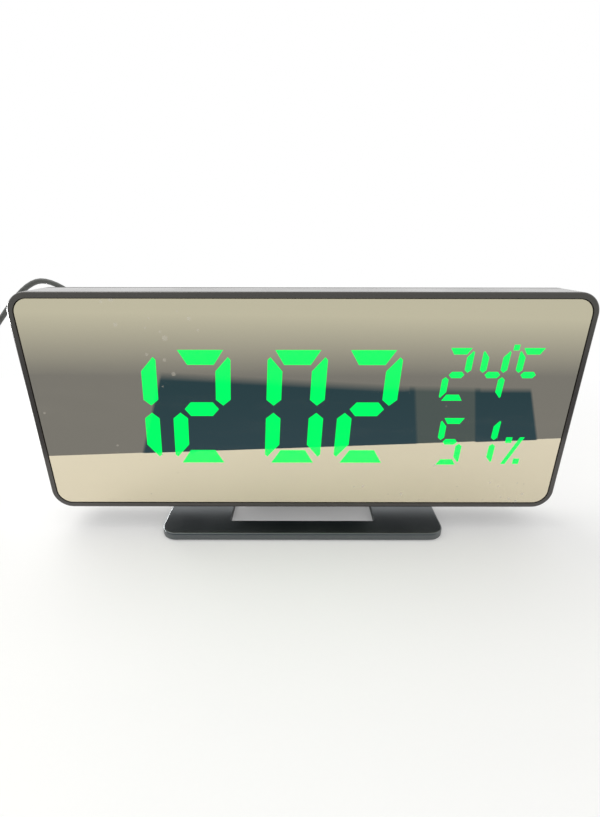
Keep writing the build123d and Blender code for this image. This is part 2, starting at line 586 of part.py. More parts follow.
grip_front = BODY_D + PLUG_GAP
grip_back = grip_front + PLUG_L
plug_end = grip_back + BOOT_L
shell_w, shell_h = socket_inner_w - 2 * PLUG_FIT, socket_inner_h - 2 * PLUG_FIT
shell_outline = SlotOverall(shell_w, shell_h)
shell_outline -= SlotOverall(shell_w - 2 * SOCKET_WALL, shell_h - 2 * SOCKET_WALL)
plug_shell = plate(socket_at * shell_outline, grip_front - PLUG_REACH, grip_front)
power_plug = plate(socket_at * RectangleRounded(PLUG_W, PLUG_H, PLUG_H * 0.45), grip_front, grip_back)
power_plug = chamfer(power_plug.faces().sort_by(Axis.Y)[-1].edges(), PLUG_EDGE)
boot_start = facing(grip_back) * socket_at * Circle(BOOT_R0)
boot_end = facing(plug_end) * socket_at * Circle(BOOT_R1)
power_plug += loft([boot_start, boot_end])

# Lead: runs joined by arcs as large as the runs allow

def lead_path(points):
    """Rounded polyline; a corner's radius is 0.45 of its shorter run over the half turn's tangent."""
    spots = [Vector(*p) for p in points]
    runs = [b - a for a, b in zip(spots, spots[1:])]
    radii = []
    for first, second in zip(runs, runs[1:]):
        half_turn = radians(first.get_angle(second)) / 2
        radii.append(0.45 * min(first.length, second.length) / tan(half_turn))
    print("lead radii", [round(r, 1) for r in radii])
    return FilletPolyline(*spots, radius=radii)


cord_section = RegularPolygon(CORD_D / 2, CORD_SIDES)


def cord_tube(path, name):
    tube = sweep(Plane(origin=path @ 0, z_dir=path % 0) * cord_section, path=path)
    share = tube.volume / (cord_section.area * path.length)
    print(name, "length", round(path.length, 1), "volume share", round(share, 4))
    return tube


# Coil: the rest of the lead, spiralled in and out in four layers
coil_out = COIL_IN + COIL_TURNS * COIL_PITCH
coil_low = TIE_T + TIE_GAP + CORD_D / 2
COIL_STAGES = [
    (COIL_TURNS, -1, 0), (0.5, 0, 1), (COIL_TURNS, 1, 0), (0.5, 0, 1),
    (COIL_TURNS, -1, 0), (0.5, 0, 1), (COIL_LAST_TURNS, 1, 0),
]


def coil_point(turn):
    """Place on the coil after a number of turns from its outer end."""
    radius, layer, left = coil_out, 0.0, turn
    for turns, outward, climbs in COIL_STAGES:
        done = min(max(left, 0.0), turns)
        radius += outward * COIL_PITCH * done
        layer += climbs * done / turns
        left -= turns
    angle = pi + 2 * pi * turn
    height = coil_low + layer * COIL_PITCH
    return Vector(COIL_X + radius * cos(angle), COIL_Y + radius * sin(angle), height)


def coil_heading(turn, step=0.06):
    return (coil_point(turn + step) - coil_point(turn - step)).normalized()


def biarc(start, start_way, end, end_way):
    """Two tangent arcs from one point and heading to another, which meet half way."""
    gap, both = end - start, start_way + end_way
    a = 2 * (1 - start_way.dot(end_way))
    b = 2 * gap.dot(both)
    reach = (-b + sqrt(b * b + 4 * a * gap.dot(gap))) / (2 * a)
    meet = (start + end + (start_way - end_way) * reach) / 2
    first = TangentArc(start, meet, tangent=start_way)
    return [first, TangentArc(first @ 1, end, tangent=first % 1)]


coil_turns = sum(stage[0] for stage in COIL_STAGES)
quarters = int(round(coil_turns * 4))
knots = [(coil_point(i / 4), coil_heading(i / 4)) for i in range(quarters + 1)]
flat_start = Vector(0, -1, 0)
flat_end = Vector(cos(pi * 1.5 + 2 * pi * coil_turns), sin(pi * 1.5 + 2 * pi * coil_turns), 0)
knots[0] = (knots[0][0], flat_start)
knots[-1] = (knots[-1][0], flat_end)
coil_edges = []
for (start, way), (end, end_way) in zip(knots, knots[1:]):
    coil_edges += biarc(start, way, end, end_way)
coil_start = knots[0][0] - flat_start * CORD_D
coil_end = knots[-1][0] + flat_end * CORD_D
coil_edges = [Line(coil_start, knots[0][0]), *coil_edges, Line(knots[-1][0], coil_end)]
coil_path = Wire(coil_edges)

LEAD_START = (SOCKET_X, FRONT_Y + plug_end, BODY_LIFT + SOCKET_Z)
LEAD_POINTS = [
    LEAD_START,
    (SOCKET_X, LEAD_START[1] + 13.6, LEAD_START[2]),
    (-79.5, 44.2, 61.0),
    (-98.0, 47.2, 72.4),
    (-113.8, 47.2, 86.1),
    (-127.0, 47.2, 86.0),
    (-146.5, 45.7, 66.3),
    (-161.5, 37.5, 40.0),
    (-170.0, 27.0, 15.0),
    (coil_start.X, 12.0, coil_start.Z),
    tuple(coil_start),
]
USB_END = (-192.0, -22.0, USB_H / 2)
TAIL_POINTS = [
    tuple(coil_end),
    (coil_end.X - 14.0, coil_end.Y, coil_end.Z),
    (coil_end.X - 28.0, coil_end.Y - 4.0, coil_end.Z - 3.5),
    (USB_END[0], USB_END[1] + 14.0, USB_END[2]),
    USB_END,
]
power_lead = cord_tube(lead_path(LEAD_POINTS), "lead")
power_lead_coil = cord_tube(coil_path, "coil")
power_lead_tail = cord_tube(lead_path(TAIL_POINTS), "tail")

samples = [coil_path @ (i / 1200) for i in range(1201)]
skip = int(1200 * 4 * CORD_D / coil_path.length)
least = min(
    (samples[i] - samples[j]).length for i in range(0, 1201, 2) for j in range(i + skip, 1201, 2)
)
print("coil least gap", round(least - CORD_D, 2))

coil_rim = max(coil_out, COIL_IN + COIL_LAST_TURNS * COIL_PITCH) + CORD_D / 2
tie_in, tie_out = COIL_IN - CORD_D / 2 - TIE_GAP, coil_rim + TIE_GAP
tie_top = coil_low + 3 * COIL_PITCH + CORD_D / 2 + TIE_GAP
tie_hole_w, tie_hole_h = tie_out - tie_in, tie_top - TIE_T
tie_outer = Rectangle(tie_hole_w + 2 * TIE_T, tie_hole_h + 2 * TIE_T)
tie_ring = fillet(tie_outer.vertices(), 2 * TIE_T) - Rectangle(tie_hole_w, tie_hole_h)
tie_middle = Vector((tie_in + tie_out) / 2, 0, TIE_T + tie_hole_h / 2)
tie_start = tie_middle + Vector(0, TIE_W / 2, 0)
tie_plane = Plane(origin=tie_start, x_dir=(1, 0, 0), z_dir=(0, -1, 0))
tie_band = extrude(tie_plane * tie_ring, amount=TIE_W)
lead_tie = Pos(COIL_X, COIL_Y, 0) * Rot(0, 0, TIE_TURN) * tie_band

# Far plug: moulded grip and metal shell, lying on the table along -Y
usb_front = USB_END[1] - USB_L
usb_plane = Plane(origin=USB_END, x_dir=(1, 0, 0), z_dir=(0, -1, 0))
usb_plug = extrude(usb_plane * RectangleRounded(USB_W, USB_H, USB_H * 0.3), amount=USB_L)
usb_plug = chamfer(usb_plug.faces().sort_by(Axis.Y)[-1].edges(), USB_EDGE)
usb_tip = Plane(origin=(USB_END[0], usb_front, USB_END[2]), x_dir=(1, 0, 0), z_dir=(0, -1, 0))
usb_hollow_w, usb_hollow_h = USB_SHELL_W - 2 * USB_SHELL_T, USB_SHELL_H - 2 * USB_SHELL_T
usb_wall = Rectangle(USB_SHELL_W, USB_SHELL_H) - Rectangle(usb_hollow_w, usb_hollow_h)
usb_shell = extrude(usb_tip * usb_wall, amount=USB_SHELL_L)
core = Pos(0, (USB_CORE_H - usb_hollow_h) / 2) * Rectangle(usb_hollow_w, USB_CORE_H)
usb_shell += extrude(usb_tip * core, amount=USB_SHELL_L - USB_CORE_SHORT)

nodes = {
    "front_frame": front_frame,
    "mirror_panel": mirror_panel,
    "mirror_tape": mirror_tape,
    "reflector_block": reflector_block,
    "time_segments": time_segments,
    "climate_segments": climate_segments,
    "unlit_segments": unlit_segments,
    "display_board": display_board,
    "segment_leds": segment_leds,
    "controller_chip": controller_chip,
    "driver_chip": driver_chip,
    "clock_crystal": clock_crystal,
    "climate_sensor": climate_sensor,
    "buzzer": buzzer,
    "cell_holder": cell_holder,
    "coin_cell": coin_cell,
    "board_screws": board_screws,
    "button_switches": button_switches,
    **{name: button(x) for name, x in button_places.items()},
    "rear_cover": rear_cover,
    "cover_screws": cover_screws,
    "battery_door": battery_door,
    "door_screw": door_screw,
    "hinge_pin": hinge_pin,
    "friction_washers": friction_washers,
    "stand_base": stand_base,
    "rubber_feet": rubber_feet,
    "power_socket": power_socket,
    "plug_shell": plug_shell,
    "power_plug": power_plug,
    "power_lead": power_lead,
    "power_lead_coil": power_lead_coil,
    "power_lead_tail": power_lead_tail,
    "lead_tie": lead_tie,
    "usb_plug": usb_plug,
    "usb_shell": usb_shell,
}
os.makedirs("parts", exist_ok=True)
for name, shape in nodes.items():
    export_step(shape, f"parts/{name}.step")
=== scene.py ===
# Dresses the mirror-faced desk clock: camera, power cord, finishes, fine pieces and studio.
# Sizes written with MM are millimetres in the part's frame, as in the part's source.

import json
from math import cos, pi, radians, sin

import bmesh
import bpy
from mathutils import Matrix, Vector

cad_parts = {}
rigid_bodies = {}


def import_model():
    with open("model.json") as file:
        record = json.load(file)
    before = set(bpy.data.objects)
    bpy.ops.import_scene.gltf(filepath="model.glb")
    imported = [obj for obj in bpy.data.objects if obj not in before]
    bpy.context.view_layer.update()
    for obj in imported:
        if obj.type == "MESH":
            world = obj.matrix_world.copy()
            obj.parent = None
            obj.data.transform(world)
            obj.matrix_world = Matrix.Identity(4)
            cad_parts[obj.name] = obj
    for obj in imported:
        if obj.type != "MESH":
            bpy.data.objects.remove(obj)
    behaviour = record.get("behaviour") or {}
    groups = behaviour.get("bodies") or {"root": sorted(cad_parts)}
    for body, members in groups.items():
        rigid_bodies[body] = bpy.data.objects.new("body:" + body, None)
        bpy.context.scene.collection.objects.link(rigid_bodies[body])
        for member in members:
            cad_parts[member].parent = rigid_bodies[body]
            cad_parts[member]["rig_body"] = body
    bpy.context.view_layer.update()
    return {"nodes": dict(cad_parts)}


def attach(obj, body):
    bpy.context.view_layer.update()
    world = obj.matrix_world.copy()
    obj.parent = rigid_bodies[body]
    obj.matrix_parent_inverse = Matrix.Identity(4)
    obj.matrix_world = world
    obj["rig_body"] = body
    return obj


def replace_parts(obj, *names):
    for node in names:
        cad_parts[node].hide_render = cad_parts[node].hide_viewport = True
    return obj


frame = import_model()
nodes = frame["nodes"]
MM = 0.001

# Places that the fine pieces share with the solids, in millimetres
MIRROR_FRONT, MIRROR_BACK = -19.3, -17.8
MIRROR_W, MIRROR_H, MIRROR_R = 181.9, 74.4, 4.95
MIRROR_EDGE = 0.12      # polished edge round the mirror's front
PLATE_FRONT, PLATE_BACK = 0.04, 0.01    # faces of the light plates in front of the film
HOUSING_W, HOUSING_H, HOUSING_LOW = 186.0, 78.5, 9.5
HOUSING_MIDDLE = HOUSING_LOW + HOUSING_H / 2
COVER_BACK = -4.2       # outer face of the rear cover
BUTTON_UP = 71.5
BUTTON_PLACES = {"button_set": 62.0, "button_up": 48.0, "button_down": 34.0, "button_alarm": 20.0}
CAP_R, CAP_TOP, CAP_RIM = 3.5, -3.2, 0.42
DISH_R, DISH_LOW, DISH_RISE = 2.86, -3.6, 0.35
SCREW_IN = 4.6          # cover screws from the housing's outer faces
SCREW_SINK = 0.2        # their heads below the cover's outer face
COVER_SCREW_L, HATCH_SCREW_L = 9.6, 2.9
HEAD_R, HEAD_WALL, HEAD_DOME = 1.8, 0.62, 0.48
HEAD_H = HEAD_WALL + HEAD_DOME
HATCH_SCREW = (-26.0, 40.85)
PLUG_AT = (-66.0, 57.5)
PLUG_W, PLUG_FRONT, PLUG_BACK = 11.0, -3.9, 13.6
FAR_PLUG_X, FAR_PLUG_W, FAR_PLUG_H, FAR_PLUG_BACK = -192.0, 15.5, 8.0, -22.0
RING_START = 1.2        # first strain-relief ring behind the plug's grip
RIDGE_START, FAR_RIDGE_START = 4.0, 20.0        # first finger ridge from each plug's end
FOOT_X, FOOT_Y, FOOT_R, FOOT_T = 43.5, 18.0, 4.5, 1.2
FOOT_RIM = 0.4
GROOVE_R, GROOVE_HALF, GROOVE_DEEP = 2.9, 0.4, 0.14     # ring pressed into each foot
SHARP = 35.0            # degrees; a steeper edge stays sharp

# Camera, fitted to the photograph's frame of 600 by 817
CAMERA_AT = (-0.979, -152.058, 101.555)
CAMERA_PITCH, CAMERA_ROLL = 21.472, 0.072       # degrees
LENS, SENSOR = 18.38, 36.0


def photo_camera():
    """Camera at the photograph's viewing angle."""
    data = bpy.data.cameras.new("photo_camera")
    data.sensor_width = SENSOR
    data.lens = LENS
    data.clip_start = 0.01
    camera = bpy.data.objects.new("photo_camera", data)
    bpy.context.collection.objects.link(camera)
    place = Matrix.Translation(Vector(CAMERA_AT) * MM)
    pitch = Matrix.Rotation(radians(90.0 - CAMERA_PITCH), 4, "X")
    roll = Matrix.Rotation(radians(CAMERA_ROLL), 4, "Z")
    camera.matrix_world = place @ pitch @ roll
    bpy.context.scene.camera = camera


photo_camera()

# Power cord: out of the plug, over the housing's shoulder, down to the table and into its coil

CORD_D = 2.4
COIL_AT = (-153.0, -8.0)
COIL_OUT, COIL_PITCH, COIL_LOW = 17.4, 3.2, 2.15
# Each stage of the coil: its turns, whether they run inwards or outwards, and the layers it climbs
COIL_STAGES = [(2, -1, 0), (0.5, 0, 1), (2, 1, 0), (0.5, 0, 1), (2, -1, 0), (0.5, 0, 1), (2.25, 1, 0)]
COIL_POINTS = 16        # route points in each turn
LEAD_ROUTE = [
    (-66.0, 21.6, 57.5),
    (-66.0, 35.2, 57.5),
    (-79.5, 44.2, 61.0),
    (-98.0, 47.2, 72.4),
    (-113.8, 47.2, 86.1),
    (-126.0, 47.2, 85.6),
    (-145.0, 45.7, 65.6),
    (-161.5, 37.5, 40.0),
    (-170.0, 27.0, 15.0),
    (-170.4, 12.0, 2.15),
    (-170.4, -5.6, 2.15),
]
TAIL_ROUTE = [
    (-155.4, 10.2, 11.75),
    (-169.4, 10.2, 11.75),
    (-183.4, 6.2, 8.25),
    (-192.0, -8.0, 4.0),
    (-192.0, -22.0, 4.0),
]


def coil_point(turn):
    """Route point after a number of turns; it stands out a little, because the spline cuts inside."""
    radius, layer, left = COIL_OUT, 0.0, turn
    for turns, outward, climbs in COIL_STAGES:
        done = min(max(left, 0.0), turns)
        radius += outward * COIL_PITCH * done
        layer += climbs * done / turns
        left -= turns
    angle = pi + 2 * pi * turn
    reach = radius / cos(pi / COIL_POINTS)
    height = COIL_LOW + layer * COIL_PITCH
    return COIL_AT[0] + reach * cos(angle), COIL_AT[1] + reach * sin(angle), height


def power_cord(jacket):
    """The cord as one smooth spline through lead, coil and tail."""
    turns = sum(stage[0] for stage in COIL_STAGES)
    coil = [coil_point(i / COIL_POINTS) for i in range(1, int(turns * COIL_POINTS))]
    route = LEAD_ROUTE + coil + TAIL_ROUTE
    data = bpy.data.curves.new("power_cord", "CURVE")
    data.dimensions = "3D"
    data.bevel_depth = CORD_D / 2 * MM
    data.bevel_resolution = 3
    data.use_fill_caps = True
    spline = data.splines.new("NURBS")
    spline.points.add(len(route) - 1)
    for point, spot in zip(spline.points, route):
        point.co = (*(Vector(spot) * MM), 1.0)
    spline.order_u = 3
    spline.use_endpoint_u = True
    spline.resolution_u = 6
    data.materials.append(jacket)
    cord = bpy.data.objects.new("power_cord", data)
    bpy.context.collection.objects.link(cord)
    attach(cord, "clock_housing")
    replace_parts(cord, "power_lead", "power_lead_coil", "power_lead_tail")
    return cord


# Small helpers for node trees

def add(tree, kind, inputs=None, **settings):
    """New node; an input takes a value or another node's output."""
    node = tree.nodes.new(kind)
    for key, value in settings.items():
        setattr(node, key, value)
    for key, value in (inputs or {}).items():
        if isinstance(value, bpy.types.NodeSocket):
            tree.links.new(value, node.inputs[key])
        else:
            node.inputs[key].default_value = value
    return node


def sums(tree, operation, first, second=0.0, third=0.0, clamp=False):
    """Result of one arithmetic node."""
    values = {0: first, 1: second, 2: third}
    return add(tree, "ShaderNodeMath", values, operation=operation, use_clamp=clamp).outputs[0]


def spread(tree, value, low, high, to_low=0.0, to_high=1.0):
    """Value stretched from one range to another, and held inside it."""
    values = {0: value, 1: low, 2: high, 3: to_low, 4: to_high}
    return add(tree, "ShaderNodeMapRange", values, clamp=True).outputs[0]


def tint(tree, share, first, second):
    """Colour between two colours by a share."""
    values = {0: share, 6: first, 7: second}
    return add(tree, "ShaderNodeMix", values, data_type="RGBA").outputs[2]


def noise(tree, place, scale, detail=2.0, roughness=0.5):
    """Soft random value at a place."""
    values = {"Vector": place, "Scale": scale, "Detail": detail, "Roughness": roughness}
    return add(tree, "ShaderNodeTexNoise", values).outputs[0]


def shader_group(name, inputs, outputs):
    """Empty shared effect with a place and named numbers going in and named values coming out."""
    tree = bpy.data.node_groups.new(name, "ShaderNodeTree")
    tree.interface.new_socket("Place", in_out="INPUT", socket_type="NodeSocketVector")
    for label, value in inputs.items():
        socket = tree.interface.new_socket(label, in_out="INPUT", socket_type="NodeSocketFloat")
        socket.default_value = value
    for label in outputs:
        tree.interface.new_socket(label, in_out="OUTPUT", socket_type="NodeSocketFloat")
    return tree, tree.nodes.new("NodeGroupInput"), tree.nodes.new("NodeGroupOutput")


def seen_rays(tree):
    """Light path, and the share of rays that show a surface by sight, gloss or glass."""
    path = add(tree, "ShaderNodeLightPath").outputs
    seen = sums(tree, "ADD", path["Is Camera Ray"], path["Is Glossy Ray"])
    return path, sums(tree, "ADD", seen, path["Is Transmission Ray"], clamp=True)


# Shared effects

def make_moulded_grain():
    """Spark-eroded grain of moulded plastic, with slow changes of tone and gloss."""
    inputs = {"Grain": 4000.0, "Patches": 60.0}
    tree, come, go = shader_group("moulded_grain", inputs, ["Height", "Tone", "Gloss"])
    fine = noise(tree, come.outputs["Place"], come.outputs["Grain"], 3.0, 0.6)
    slow = noise(tree, come.outputs["Place"], come.outputs["Patches"], 4.0, 0.55)
    tree.links.new(fine, go.inputs["Height"])
    slow_share = sums(tree, "MULTIPLY", slow, 0.65)
    tree.links.new(sums(tree, "MULTIPLY_ADD", fine, 0.35, slow_share), go.inputs["Tone"])
    tree.links.new(spread(tree, slow, 0.3, 0.7), go.inputs["Gloss"])
    return tree


def make_settled_dust():
    """Specks of dust and faint wipe marks."""
    inputs = {"Specks": 260.0, "Size": 0.1, "Wipes": 24.0}
    tree, come, go = shader_group("settled_dust", inputs, ["Dust", "Smear"])
    place = come.outputs["Place"]
    cells = {"Vector": place, "Scale": come.outputs["Specks"]}
    voronoi = add(tree, "ShaderNodeTexVoronoi", cells)
    chosen = spread(tree, noise(tree, place, 35.0, 2.0), 0.52, 0.7)
    reach = sums(tree, "MULTIPLY", come.outputs["Size"], chosen)
    inside = sums(tree, "SUBTRACT", reach, voronoi.outputs["Distance"])
    tree.links.new(spread(tree, inside, 0.0, 0.05), go.inputs["Dust"])
    slanted = {"Vector": place, "Rotation": (0.0, 0.5, 0.0), "Scale": (1.0, 1.0, 7.0)}
    stretch = add(tree, "ShaderNodeMapping", slanted)
    wiped = noise(tree, stretch.outputs[0], come.outputs["Wipes"], 6.0, 0.65)
    tree.links.new(spread(tree, wiped, 0.5, 0.8), go.inputs["Smear"])
    return tree


def make_turned_marks():
    """Fine tool marks and dull spots of machined or pressed metal."""
    tree, come, go = shader_group("turned_marks", {"Marks": 900.0, "Spots": 150.0}, ["Mark", "Dull"])
    stretch = add(tree, "ShaderNodeMapping", {"Vector": come.outputs["Place"], "Scale": (1.0, 1.0, 0.08)})
    tree.links.new(noise(tree, stretch.outputs[0], come.outputs["Marks"], 2.0), go.inputs["Mark"])
    dull = noise(tree, come.outputs["Place"], come.outputs["Spots"], 3.0)
    tree.links.new(spread(tree, dull, 0.4, 0.75), go.inputs["Dull"])
    return tree


moulded_grain = make_moulded_grain()
settled_dust = make_settled_dust()
turned_marks = make_turned_marks()


# Finishes

def finish(name, **sockets):
    """New material; plain numbers are set on the shader's own sockets."""
    material = bpy.data.materials.new(name)
    material.use_nodes = True
    tree = material.node_tree
    shader = tree.nodes["Principled BSDF"]
    for label, value in sockets.items():
        shader.inputs[label.replace("_", " ")].default_value = value
    place = tree.nodes.new("ShaderNodeTexCoord").outputs["Object"]
    return material, tree, shader, place


def use_group(tree, group, place, **numbers):
    """Outputs of a shared effect, placed in a material with its own numbers."""
    node = tree.nodes.new("ShaderNodeGroup")
    node.node_tree = group
    tree.links.new(place, node.inputs["Place"])
    for label, value in numbers.items():
        node.inputs[label].default_value = value
    return node.outputs


def bump(tree, shader, height, depth):
    """Relief of a depth in millimetres on the shader's normal."""
    values = {"Height": height, "Distance": depth * MM, "Strength": 1.0}
    raised = add(tree, "ShaderNodeBump", values)
    tree.links.new(raised.outputs[0], shader.inputs["Normal"])


def moulded(name, dark, light, rough, grain=4000.0, patches=60.0, depth=0.02, dust=0.0, **sockets):
    """Moulded plastic or rubber: grain, slow changes of tone and gloss, and a little dust."""
    material, tree, shader, place = finish(name, **sockets)
    skin = use_group(tree, moulded_grain, place, Grain=grain, Patches=patches)
    colour = tint(tree, skin["Tone"], (*dark, 1), (*light, 1))
    gloss = spread(tree, skin["Gloss"], 0.0, 1.0, rough[0], rough[1])
    if dust:
        fall = use_group(tree, settled_dust, place)
        laid = sums(tree, "MULTIPLY", fall["Dust"], dust)
        colour = tint(tree, laid, colour, (0.42, 0.41, 0.39, 1))
        gloss = sums(tree, "MULTIPLY_ADD", fall["Smear"], 0.05, gloss)
    tree.links.new(colour, shader.inputs["Base Color"])
    tree.links.new(gloss, shader.inputs["Roughness"])
    bump(tree, shader, skin["Height"], depth)
    return material


def metal(name, bright, dull, rough, marks=900.0, depth=0.004):
    """Plated or bare metal with fine marks."""
    material, tree, shader, place = finish(name, Metallic=1.0)
    worn = use_group(tree, turned_marks, place, Marks=marks)
    tree.links.new(tint(tree, worn["Dull"], (*bright, 1), (*dull, 1)), shader.inputs["Base Color"])
    tree.links.new(spread(tree, worn["Mark"], 0.2, 0.8, rough[0], rough[1]), shader.inputs["Roughness"])
    bump(tree, shader, worn["Mark"], depth)
    return material


def lit_green(name, alpha):
    """Light of a lit segment: even green, in tones that hardly differ."""
    material, tree, shader, place = finish(
        name, Roughness=0.4, Alpha=alpha, Emission_Strength=1.0, Specular_IOR_Level=0.0
    )
    skin = use_group(tree, moulded_grain, place, Grain=900.0, Patches=220.0)
    colour = tint(tree, skin["Tone"], (0.0, 1.22, 0.15, 1), (0.0, 1.34, 0.175, 1))
    shader.inputs["Base Color"].default_value = (0.0, 0.02, 0.004, 1)
    tree.links.new(colour, shader.inputs["Emission Color"])
    return material


def mirror_film():
    """Warm half-mirror film with a few specks of dust and faint wipe marks on it."""
    material, tree, shader, place = finish("mirror_film", Alpha=0.93)
    skin = use_group(tree, moulded_grain, place, Grain=500.0, Patches=14.0)
    fall = use_group(tree, settled_dust, place, Specks=240.0, Size=0.24, Wipes=16.0)
    colour = tint(tree, skin["Tone"], (0.79, 0.715, 0.545, 1), (0.83, 0.745, 0.565, 1))
    laid = sums(tree, "MULTIPLY", fall["Dust"], 0.3)
    laid = sums(tree, "MULTIPLY_ADD", fall["Smear"], 0.03, laid)
    gloss = spread(tree, skin["Gloss"], 0.0, 1.0, 0.006, 0.016)
    tree.links.new(tint(tree, laid, colour, (0.62, 0.6, 0.56, 1)), shader.inputs["Base Color"])
    tree.links.new(sums(tree, "SUBTRACT", 1.0, laid), shader.inputs["Metallic"])
    tree.links.new(sums(tree, "MULTIPLY_ADD", laid, 0.3, gloss), shader.inputs["Roughness"])
    return material


def circuit_board():
    """Green solder mask with copper tracks running under it."""
    material, tree, shader, place = finish("circuit_board")
    skin = use_group(tree, moulded_grain, place, Grain=3000.0, Patches=120.0)
    cells = add(tree, "ShaderNodeTexVoronoi", {"Vector": place, "Scale": 420.0}, distance="CHEBYCHEV")
    tracks = spread(tree, cells.outputs["Distance"], 0.42, 0.46)
    mask = tint(tree, skin["Tone"], (0.012, 0.075, 0.03, 1), (0.02, 0.1, 0.042, 1))
    tree.links.new(tint(tree, tracks, mask, (0.05, 0.17, 0.075, 1)), shader.inputs["Base Color"])
    tree.links.new(spread(tree, skin["Gloss"], 0.0, 1.0, 0.28, 0.42), shader.inputs["Roughness"])
    bump(tree, shader, tracks, 0.03)
    return material


def woven_tie():
    """Hook-and-loop tie: close rows of fibre."""
    material, tree, shader, place = finish("woven_tie", Sheen_Weight=0.3)
    rows = {"Vector": place, "Scale": 900.0, "Distortion": 1.5, "Detail": 2.0}
    weave = add(tree, "ShaderNodeTexWave", rows).outputs[1]
    skin = use_group(tree, moulded_grain, place, Grain=5000.0, Patches=200.0)
    fibre = sums(tree, "MULTIPLY_ADD", weave, 0.5, sums(tree, "MULTIPLY", skin["Tone"], 0.5))
    colour = tint(tree, fibre, (0.012, 0.012, 0.013, 1), (0.05, 0.05, 0.052, 1))
    tree.links.new(colour, shader.inputs["Base Color"])
    tree.links.new(spread(tree, fibre, 0.0, 1.0, 0.75, 0.95), shader.inputs["Roughness"])
    bump(tree, shader, fibre, 0.12)
    return material


case_black = moulded(
    "case_black", (0.031, 0.027, 0.023), (0.046, 0.040, 0.035), (0.15, 0.22), dust=0.2, depth=0.004,
    Specular_IOR_Level=0.65, Coat_Weight=0.3, Coat_Roughness=0.12,
)
cover_black = moulded(
    "cover_black", (0.014, 0.0135, 0.013), (0.026, 0.025, 0.024), (0.42, 0.56), grain=2400.0, patches=40.0,
    dust=0.12, depth=0.03,
)
stand_black = moulded(
    "stand_black", (0.002, 0.004, 0.006), (0.005, 0.008, 0.010), (0.3, 0.38), grain=2600.0, depth=0.003,
    IOR=1.8, Specular_IOR_Level=1.0, Specular_Tint=(0.9, 0.97, 1.0, 1.0),
)
cord_jacket = moulded("cord_jacket", (0.070, 0.073, 0.067), (0.095, 0.098, 0.092), (0.38, 0.5), grain=1800.0)
plug_jacket = moulded("plug_jacket", (0.018, 0.018, 0.018), (0.032, 0.032, 0.031), (0.45, 0.6), grain=3200.0)
button_grey = moulded("button_grey", (0.035, 0.035, 0.036), (0.055, 0.055, 0.056), (0.5, 0.65), grain=5000.0)
rubber_black = moulded("rubber_black", (0.012, 0.012, 0.012), (0.024, 0.024, 0.024), (0.75, 0.9), depth=0.05)
foam_black = moulded(
    "foam_black", (0.01, 0.01, 0.01), (0.022, 0.022, 0.022), (0.85, 0.95), grain=2200.0, depth=0.08,
)
reflector_black = moulded("reflector_black", (0.006, 0.007, 0.007), (0.013, 0.014, 0.014), (0.6, 0.75))
lens_smoke = moulded("lens_smoke", (0.010, 0.016, 0.012), (0.018, 0.026, 0.020), (0.35, 0.45), grain=900.0)
chip_resin = moulded("chip_resin", (0.012, 0.012, 0.013), (0.026, 0.026, 0.028), (0.55, 0.7), grain=6000.0)
led_cream = moulded("led_cream", (0.62, 0.56, 0.3), (0.78, 0.72, 0.42), (0.35, 0.5), grain=4000.0)
holder_black = moulded("holder_black", (0.016, 0.016, 0.017), (0.03, 0.03, 0.031), (0.4, 0.55))
plated_steel = metal("plated_steel", (0.62, 0.61, 0.59), (0.45, 0.44, 0.42), (0.22, 0.38))
blackened_steel = metal("blackened_steel", (0.16, 0.155, 0.15), (0.09, 0.088, 0.085), (0.3, 0.5))
bright_shell = metal("bright_shell", (0.72, 0.71, 0.69), (0.55, 0.54, 0.52), (0.16, 0.28), marks=600.0)
segment_green = lit_green("segment_green", 1.0)
light_in_mirror = lit_green("light_in_mirror", 0.5)
half_mirror_film = mirror_film()
panel_back = moulded("panel_back", (0.012, 0.012, 0.011), (0.022, 0.021, 0.019), (0.3, 0.42))
board_green = circuit_board()
tie_black = woven_tie()

FINISHES = {
    case_black: ("front_frame",),
    cover_black: ("rear_cover", "battery_door"),
    stand_black: ("stand_base",),
    foam_black: ("mirror_tape",),
    reflector_black: ("reflector_block",),
    segment_green: ("time_segments", "climate_segments"),
    lens_smoke: ("unlit_segments",),
    board_green: ("display_board",),
    led_cream: ("segment_leds",),
    chip_resin: ("controller_chip", "driver_chip", "buzzer", "button_switches"),
    holder_black: ("cell_holder", "friction_washers"),
    plated_steel: ("clock_crystal", "climate_sensor", "coin_cell", "board_screws", "hinge_pin"),
    bright_shell: ("power_socket", "plug_shell", "usb_shell"),
    plug_jacket: ("power_plug", "usb_plug"),
    tie_black: ("lead_tie",),
}
for material, names in FINISHES.items():
    for name in names:
        for place in nodes[name].material_slots:
            place.material = material

cord = power_cord(cord_jacket)


# Fine pieces

def piece(name, mesh, body, slot, *finishes, sharp=SHARP):
    """Object at the origin from a finished bmesh, riding on a body."""
    data = bpy.data.meshes.new(name)
    mesh.to_mesh(data)
    mesh.free()
    data.shade_smooth()
    data.set_sharp_from_angle(angle=radians(sharp))
    for material in finishes:
        data.materials.append(material)
    obj = bpy.data.objects.new(name, data)
    bpy.context.collection.objects.link(obj)
    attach(obj, body)
    return obj


def oval(centre, reach, start, end, steps):
    """Points along part of an oval; angles are degrees from the first axis towards the second."""
    angles = [radians(start + (end - start) * i / steps) for i in range(steps + 1)]
    return [(centre[0] + reach[0] * cos(angle), centre[1] + reach[1] * sin(angle)) for angle in angles]


